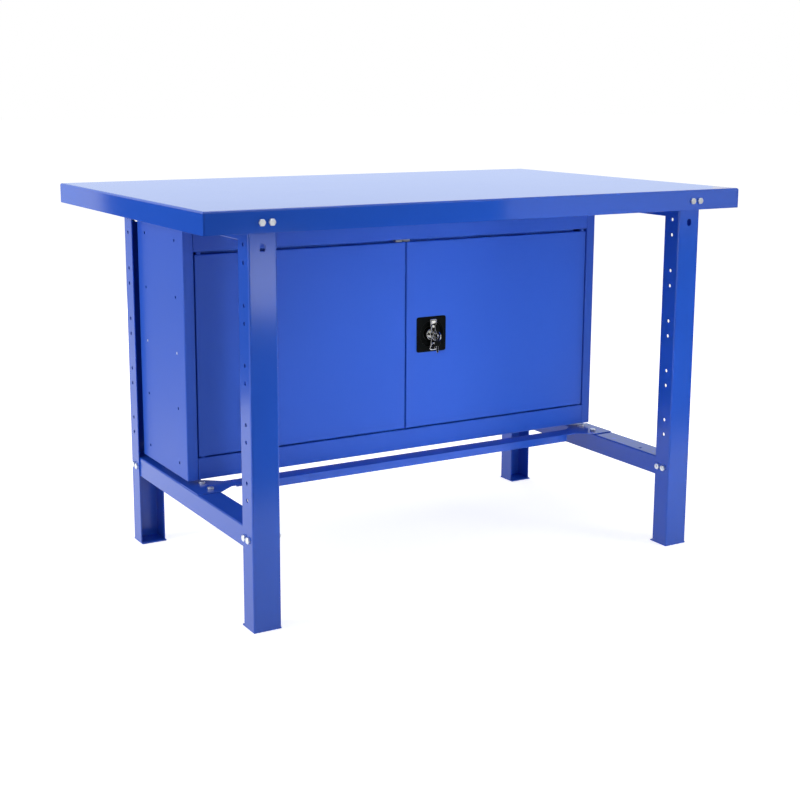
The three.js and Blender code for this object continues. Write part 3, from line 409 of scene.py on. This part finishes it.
def make_bolts():
    """Every bolt pair on both sides of the bench."""
    for side, out in (("left", -1), ("right", 1)):
        make_skirt_bolts(side)
        make_rail_bolts(side)
        make_tie_bolts(side)
        for level in ("lower", "upper"):
            for end in ("front", "rear"):
                make_leg_bolts(level, end, side, out)


# The lock's centre on its plate's front face. Depths below are millimetres into the door from that face.
PLATE_LOW, PLATE_HIGH = box("lock_plate")
LOCK = np.array(((PLATE_LOW[0] + PLATE_HIGH[0]) / 2, PLATE_LOW[1], (PLATE_LOW[2] + PLATE_HIGH[2]) / 2))
INTO_DOOR = (0, 1, 0)
AXIS = 0.01
# The hub with its boss, from the keyhole out over the cone to the spindle, as radius and depth.
HUB = [
    (AXIS, 4.5), (7.3, 4.5), (7.3, -9.15), (7.6, -9.5), (9.1, -9.5), (9.5, -9.1), (9.5, -2.5),
    (13.3, -2.5), (13.8, -2.35), (14.2, -1.85), (18.6, 7.35), (18.7, 7.85), (18.4, 8.2),
    (6, 8.2), (6, 19.5), (AXIS, 19.5),
]
WING_NECK = 8.2
WING_CAP = 4.0
WING_DEPTH = -5.5
WING_THICKNESS = 8.0
WING_NECK_HALF = 4.2
WING_FLARE = 4.8
WING_FLARE_POWER = 1.3
WING_TIP_THICKNESS = 0.55
SCOOP_DEPTH = 2.6
SCOOP_PLACE = 25
SCOOP_LENGTH = 7
SCOOP_WIDTH = 5.5
# The plate from its spindle hole over the dish to its face, and the plate's back, as radius and depth. The
# rim is given in shares of the plate's half width and half height.
DISH = [
    (6.3, 10.5), (6.3, 8.5), (28.5, 8.5), (30.2, 7.95), (31.2, 6.65), (31.5, 4.85), (31.5, 0.95),
    (31.8, 0.35), (32.5, 0),
]
RIM = [(0.975, 0), (0.992, 0.35), (1, 1.05), (1, 2.49)]
DISH_BACK = [(33.5, 2.49), (33.5, 9.85), (32.8, 10.5), DISH[0]]


def make_handle():
    """The wing handle: a turned hub and boss with two wings.

    A wing is a row of rounded rectangles along Z. Its half width grows from the neck to the tip with a power
    of the way along, and closes over the cap like a quarter ellipse. A finger scoop is pressed into its front
    as a bell curve.
    """
    skins = [ring_skin(turned(HUB, LOCK, INTO_DOOR))]
    handle_low, handle_high = box("lock_handle")
    reach = (handle_high[2] - handle_low[2]) / 2 - WING_CAP
    cap = reach + WING_CAP * np.sin(np.linspace(0.15, 1.55, 9))
    z = np.concatenate([np.linspace(WING_NECK, reach, 18), cap])[:, None]
    cx, cy = rounded(48, WING_SQUARE)
    close = np.sqrt(np.clip(1 - (np.maximum(z - reach, 0) / WING_CAP) ** 2, 0, 1))
    x = (WING_NECK_HALF + WING_FLARE * (z / reach) ** WING_FLARE_POWER - WING_CAP * (1 - close)) * cx
    bell = np.exp(-((z - SCOOP_PLACE) / SCOOP_LENGTH) ** 2 - (x / SCOOP_WIDTH) ** 2)
    thickness = WING_THICKNESS * (WING_TIP_THICKNESS + (1 - WING_TIP_THICKNESS) * close)
    y = WING_DEPTH + thickness / 2 * cy + SCOOP_DEPTH * bell * (cy < 0)
    for way in (1, -1):
        skins.append(ring_skin(LOCK + np.stack([x, y, way * z + 0 * x], axis=-1)))
    piece("wing_handle", skins, "chrome", "lock_handle", ["lock_handle"])


def make_plate():
    """The pressed lock plate: a rounded square round a dish.

    Rings go from the spindle hole over the dish's floor and wall to the plate's face, its edge and round the
    back. Inside they are circles, outside they are squared circles of the plate's half width and half height.
    """
    steps = 160
    turn = np.linspace(0, ROUND, steps, endpoint=False) + np.pi / steps
    circle = np.stack([np.cos(turn), np.sin(turn)], axis=1)
    square = np.stack(rounded(steps, PLATE_SQUARE), axis=1) * (PLATE_HIGH - PLATE_LOW)[[0, 2]] / 2
    levels = [(circle * radius, depth) for radius, depth in DISH]
    levels += [(square * share, depth) for share, depth in RIM]
    levels += [(circle * radius, depth) for radius, depth in DISH_BACK]
    rings = [np.stack([flat[:, 0], np.full(steps, depth), flat[:, 1]], axis=1) for flat, depth in levels]
    piece("pressed_lock_plate", [open_skin(LOCK + rings)], "lock_black", "door_right", ["lock_plate"])


# The key in the lock and the spare key, in millimetres. The bow's section is radius and half thickness.
BOW_RADIUS = 10.0
BOW = [(3.5, 0.7), (3.9, 1.1), (9.5, 1.1), (BOW_RADIUS, 0.6)]
BLADE_FROM_BOW = 8.65
BLADE_SWELL_LENGTH = 5
BLADE_SWELL = 2.5
BLADE_HALF_THICKNESS = 1.1
BLADE_HALF_HEIGHT = 4.0
BLADE_MOST_HEIGHT = 5.5
RING_RADIUS = 8.5
RING_WIRE = 0.7
SPARE_HEAD = 7.5
SPARE_HEAD_RISE = 24.5
SPARE_HEAD_POWER = 0.25
SPARE_HEAD_POLE = 0.05
SPARE_BLADE = 19
SPARE_HALF_WIDTH = 3.0
SPARE_HALF_THICKNESS = 1.0
SPARE_TIP = 3
SPARE_TIP_SHARE = 0.001
BITTING_DEPTH = 0.9
BITTING_WAVE = 1.6
BITTING_LENGTH = 14.2


def make_key():
    """The key in the lock: a rounded ring turned about X for its bow, and rounded rectangles for its blade.

    The blade swells into the bow with the square of the way along.
    """
    low, high = box("key")
    bow = BOW + [(radius, -place) for radius, place in BOW[::-1]]
    bow_y = low[1] + BOW_RADIUS
    skins = [open_skin(turned([*bow, bow[0]], (LOCK[0], bow_y, LOCK[2]), (1, 0, 0)))]
    cx, cz = rounded(32, BLADE_SQUARE)
    start = bow_y + BLADE_FROM_BOW
    y = np.linspace(start, high[1], 40)[:, None]
    swell = BLADE_SWELL * (np.minimum((y - start) / BLADE_SWELL_LENGTH - 1, 0)) ** 2
    z = np.minimum(BLADE_HALF_HEIGHT + swell, BLADE_MOST_HEIGHT) * cz
    x = LOCK[0] + BLADE_HALF_THICKNESS * cx + 0 * z
    skins.append(ring_skin(np.stack([x, y + 0 * z, LOCK[2] + z], axis=-1)))
    piece("key_in_lock", skins, "chrome", "lock_key", ["key"])


def make_spare_key():
    """The spare key: a circle carried round a circle for its ring, a notched blade and a swollen black head.

    The blade is a row of rounded rectangles. Its tip narrows, and the bitting cuts its right edge by the
    upper half of a sine wave. The head is a pillow whose outline closes with the fourth root of the cosine.
    """
    low, high = box("spare_key")
    y = (low[1] + high[1]) / 2
    outer_ring = RING_RADIUS + RING_WIRE
    angle = np.linspace(0, ROUND, 13)
    wire = np.stack([RING_RADIUS + RING_WIRE * np.cos(angle), RING_WIRE * np.sin(angle)], axis=1)
    skins = [open_skin(turned(wire, (low[0] + outer_ring, y, high[2] - outer_ring), (0, 1, 0), 72))]
    blade_x = high[0] - SPARE_HEAD
    cx, cz = rounded(32, BLADE_SQUARE)
    rise = np.linspace(0, SPARE_BLADE, 60)[:, None]
    tip = np.clip(rise / SPARE_TIP, SPARE_TIP_SHARE, 1)
    cuts = BITTING_DEPTH * np.maximum(0, np.sin(rise * BITTING_WAVE)) * (rise < BITTING_LENGTH)
    x = blade_x - cuts * tip / 2 + (SPARE_HALF_WIDTH - cuts / 2) * tip * cx
    depth = y + SPARE_HALF_THICKNESS * cz + 0 * x
    skins.append(ring_skin(np.stack([x, depth, low[2] + rise + 0 * x], axis=-1)))
    piece("spare_key_blade_and_ring", skins, "chrome", "door_right", ["spare_key"])
    hx, hz = rounded(64, HEAD_SQUARE)
    pole = np.pi / 2 - SPARE_HEAD_POLE
    swell = np.linspace(-pole, pole, 17)[:, None]
    size = SPARE_HEAD * np.cos(swell) ** SPARE_HEAD_POWER
    thick = y + (high[1] - low[1]) / 2 * np.sin(swell) + 0 * hx
    rings = np.stack([blade_x + size * hx, thick, low[2] + SPARE_HEAD_RISE + size * hz], axis=-1)
    piece("spare_key_head", [ring_skin(rings)], "lock_black", "door_right")


JOIN_WITHIN = 0.01
BEVEL_FROM = math.radians(50)


def dress_nodes():
    """Every CAD node that shows takes its finish, with its sheet edges eased by a small bevel."""
    slot_of = {part["node"]: part["material_slot"] for part in frame["record"]["subparts"]}
    for name, node in frame["nodes"].items():
        if node.hide_render:
            continue
        of_frame = any(word in name for word in FRAME_WORDS)
        node.data.materials.clear()
        node.data.materials.append(FRAME_FINISH if of_frame else FINISHES[slot_of[name]])
        node.modifiers.new("join_triangles", "WELD").merge_threshold = JOIN_WITHIN * MM
        ease = node.modifiers.new("eased_edges", "BEVEL")
        ease.width = EDGE_EASE * MM
        ease.segments = 2
        ease.limit_method = "ANGLE"
        ease.angle_limit = BEVEL_FROM


def set_camera():
    """The photograph's camera: turn about Z, tilt down, small roll, and the crop as lens shift."""
    right = Vector((math.cos(CAMERA_TURN), math.sin(CAMERA_TURN), 0))
    ahead = Vector((-math.sin(CAMERA_TURN), math.cos(CAMERA_TURN), 0))
    back = Vector((0, 0, math.sin(CAMERA_TILT))) - ahead * math.cos(CAMERA_TILT)
    up = back.cross(right)
    rolled_right = math.cos(CAMERA_ROLL) * right + math.sin(CAMERA_ROLL) * up
    rolled_up = math.cos(CAMERA_ROLL) * up - math.sin(CAMERA_ROLL) * right
    data = bpy.data.cameras.new("photo_camera")
    data.sensor_fit = "HORIZONTAL"
    data.lens = FOCAL_PIXELS / FRAME_PIXELS * data.sensor_width
    data.shift_x = (FRAME_PIXELS / 2 - OPTICAL_AXIS_PIXEL[0]) / FRAME_PIXELS
    data.shift_y = (OPTICAL_AXIS_PIXEL[1] - FRAME_PIXELS / 2) / FRAME_PIXELS
    camera = bpy.data.objects.new("photo_camera", data)
    scene.collection.objects.link(camera)
    turn = Matrix((rolled_right, rolled_up, back)).transposed().to_4x4()
    camera.matrix_world = Matrix.Translation(CAMERA_PLACE) @ turn
    scene.camera = camera


def seen(tree):
    """1 where the eye sees the studio, also by way of metal or glass, and 0 where it only gives light."""
    path = add_node(tree, "ShaderNodeLightPath").outputs
    mirrored = {0: path["Is Glossy Ray"], 1: path["Is Transmission Ray"]}
    mirrored = add_node(tree, "ShaderNodeMath", mirrored, operation="MAXIMUM").outputs[0]
    either = {0: path["Is Camera Ray"], 1: mirrored}
    return add_node(tree, "ShaderNodeMath", either, operation="MAXIMUM").outputs[0]


def stage_sheet(name, corners, colour):
    """A flat matt sheet of the studio, through four corners in metres, with its material's nodes."""
    material, tree, shader, _ = new_material(name)
    shader.inputs["Base Color"].default_value = linear(colour)
    shader.inputs["Roughness"].default_value = 1.0
    shader.inputs["Specular IOR Level"].default_value = 0.0
    mesh = bpy.data.meshes.new(name)
    mesh.from_pydata(corners, [], [[0, 1, 2, 3]])
    mesh.materials.append(material)
    sheet = bpy.data.objects.new(name, mesh)
    scene.collection.objects.link(sheet)
    return sheet, tree, shader


# Upright dark cards in the studio: from and to on the floor, bottom and top in metres, and the colour and
# strength of the glow of each. The flags, which don't glow, are no higher than the worktop, so that it never
# mirrors them.
BENCH_TOP = TRAY_HIGH[2] * MM
CARD_COLOUR = "#262626"
CARDS = {
    "dark_front_flag": ((-1.2, -1.2), (0.55, -1.2), 0.0, BENCH_TOP, "#FFFFFF", 0.0),
    "low_dark_front_flag": ((0.55, -1.2), (3.0, -1.2), 0.0, 0.68, "#FFFFFF", 0.0),
    "dark_left_flag": ((-4.0, 1.5), (-1.12, 1.5), 0.0, BENCH_TOP, "#FFFFFF", 0.0),
    "pale_rear_card": ((-1.6, 3.2), (4.0, 3.2), 0.0, 3.0, "#DAE7FF", 1.15),
    "low_softbox": ((-0.26, -1.19), (-0.06, -1.19), 0.5, 0.68, "#FFFFFF", 5.0),
}

# Soft square lamps: place, aim and size in metres, watts, spread in degrees, and whether gloss mirrors them.
LAMPS = {
    "right_lamp": ((1.9, -2.2, 0.9), (0.6, -0.4, 0.6), 0.8, 16, 180, False),
    "top_lamp": ((0, 0.2, 3.2), (0, 0, 0.84), 2.0, 28, 180, True),
    "left_lamp": ((-3.0, 0.4, 1.1), (-0.5, 0, 0.5), 1.2, 38, 180, True),
    "back_lamp": ((0.6, 3.8, 1.2), (0, 0.3, 0.5), 2.0, 25, 180, False),
    "left_door_lamp": ((-0.7, -3.2, 0.38), (-0.05, 0, 0.42), 0.5, 0.86, 24, False),
    "right_door_lamp": ((0.3, -3.2, 0.42), (0.25, 0, 0.45), 0.5, 0.72, 24, False),
}


WHITE = "#FFFFFF"
PAPER_COLOUR = "#EDEDED"
PAPER_REACH = 40.0
PAPER_LIFT = 0.7
WORLD_LIGHT = 0.42
WORLD_SEEN = 1.0


def set_stage():
    """A pale floor, a white world, cards for gloss to mirror, and soft lamps."""
    far = PAPER_REACH
    corners = [(-far, -far, 0), (far, -far, 0), (far, far, 0), (-far, far, 0)]
    # The floor is lifted to white for the eye, so that only the bench's shadow darkens it.
    _, tree, shader = stage_sheet("white_studio_paper", corners, PAPER_COLOUR)
    shader.inputs["Emission Color"].default_value = linear(WHITE)
    lift = add_node(tree, "ShaderNodeMapRange", {"Value": seen(tree), "To Max": PAPER_LIFT})
    tree.links.new(lift.outputs["Result"], shader.inputs["Emission Strength"])
    # Dark flags stand in front and on the left, a pale glowing card behind the bench, and a low softbox
    # before the front left leg. Only gloss sees them.
    for name, (start, end, bottom, top, glow, strength) in CARDS.items():
        corners = [(*start, bottom), (*end, bottom), (*end, top), (*start, top)]
        card, _, shader = stage_sheet(name, corners, CARD_COLOUR)
        shader.inputs["Emission Color"].default_value = linear(glow)
        shader.inputs["Emission Strength"].default_value = strength
        card.visible_camera = False
        card.visible_diffuse = False
        card.visible_shadow = False

    scene.world = bpy.data.worlds.new("studio")
    scene.world.use_nodes = True
    sky = scene.world.node_tree
    background = sky.nodes["Background"]
    background.inputs["Color"].default_value = linear(WHITE)
    strength = {"Value": seen(sky), "To Min": WORLD_LIGHT, "To Max": WORLD_SEEN}
    strength = add_node(sky, "ShaderNodeMapRange", strength)
    sky.links.new(strength.outputs["Result"], background.inputs["Strength"])

    for name, (place, target, size, watts, spread, mirrored) in LAMPS.items():
        data = bpy.data.lights.new(name, "AREA")
        data.size = size
        data.energy = watts
        data.spread = math.radians(spread)
        lamp = bpy.data.objects.new(name, data)
        scene.collection.objects.link(lamp)
        lamp.location = place
        lamp.rotation_euler = (Vector(target) - Vector(place)).to_track_quat("-Z", "Y").to_euler()
        lamp.visible_glossy = mirrored


make_tray()
make_bolts()
make_handle()
make_plate()
make_key()
make_spare_key()
dress_nodes()
set_camera()
set_stage()
scene.view_settings.view_transform = "Standard"
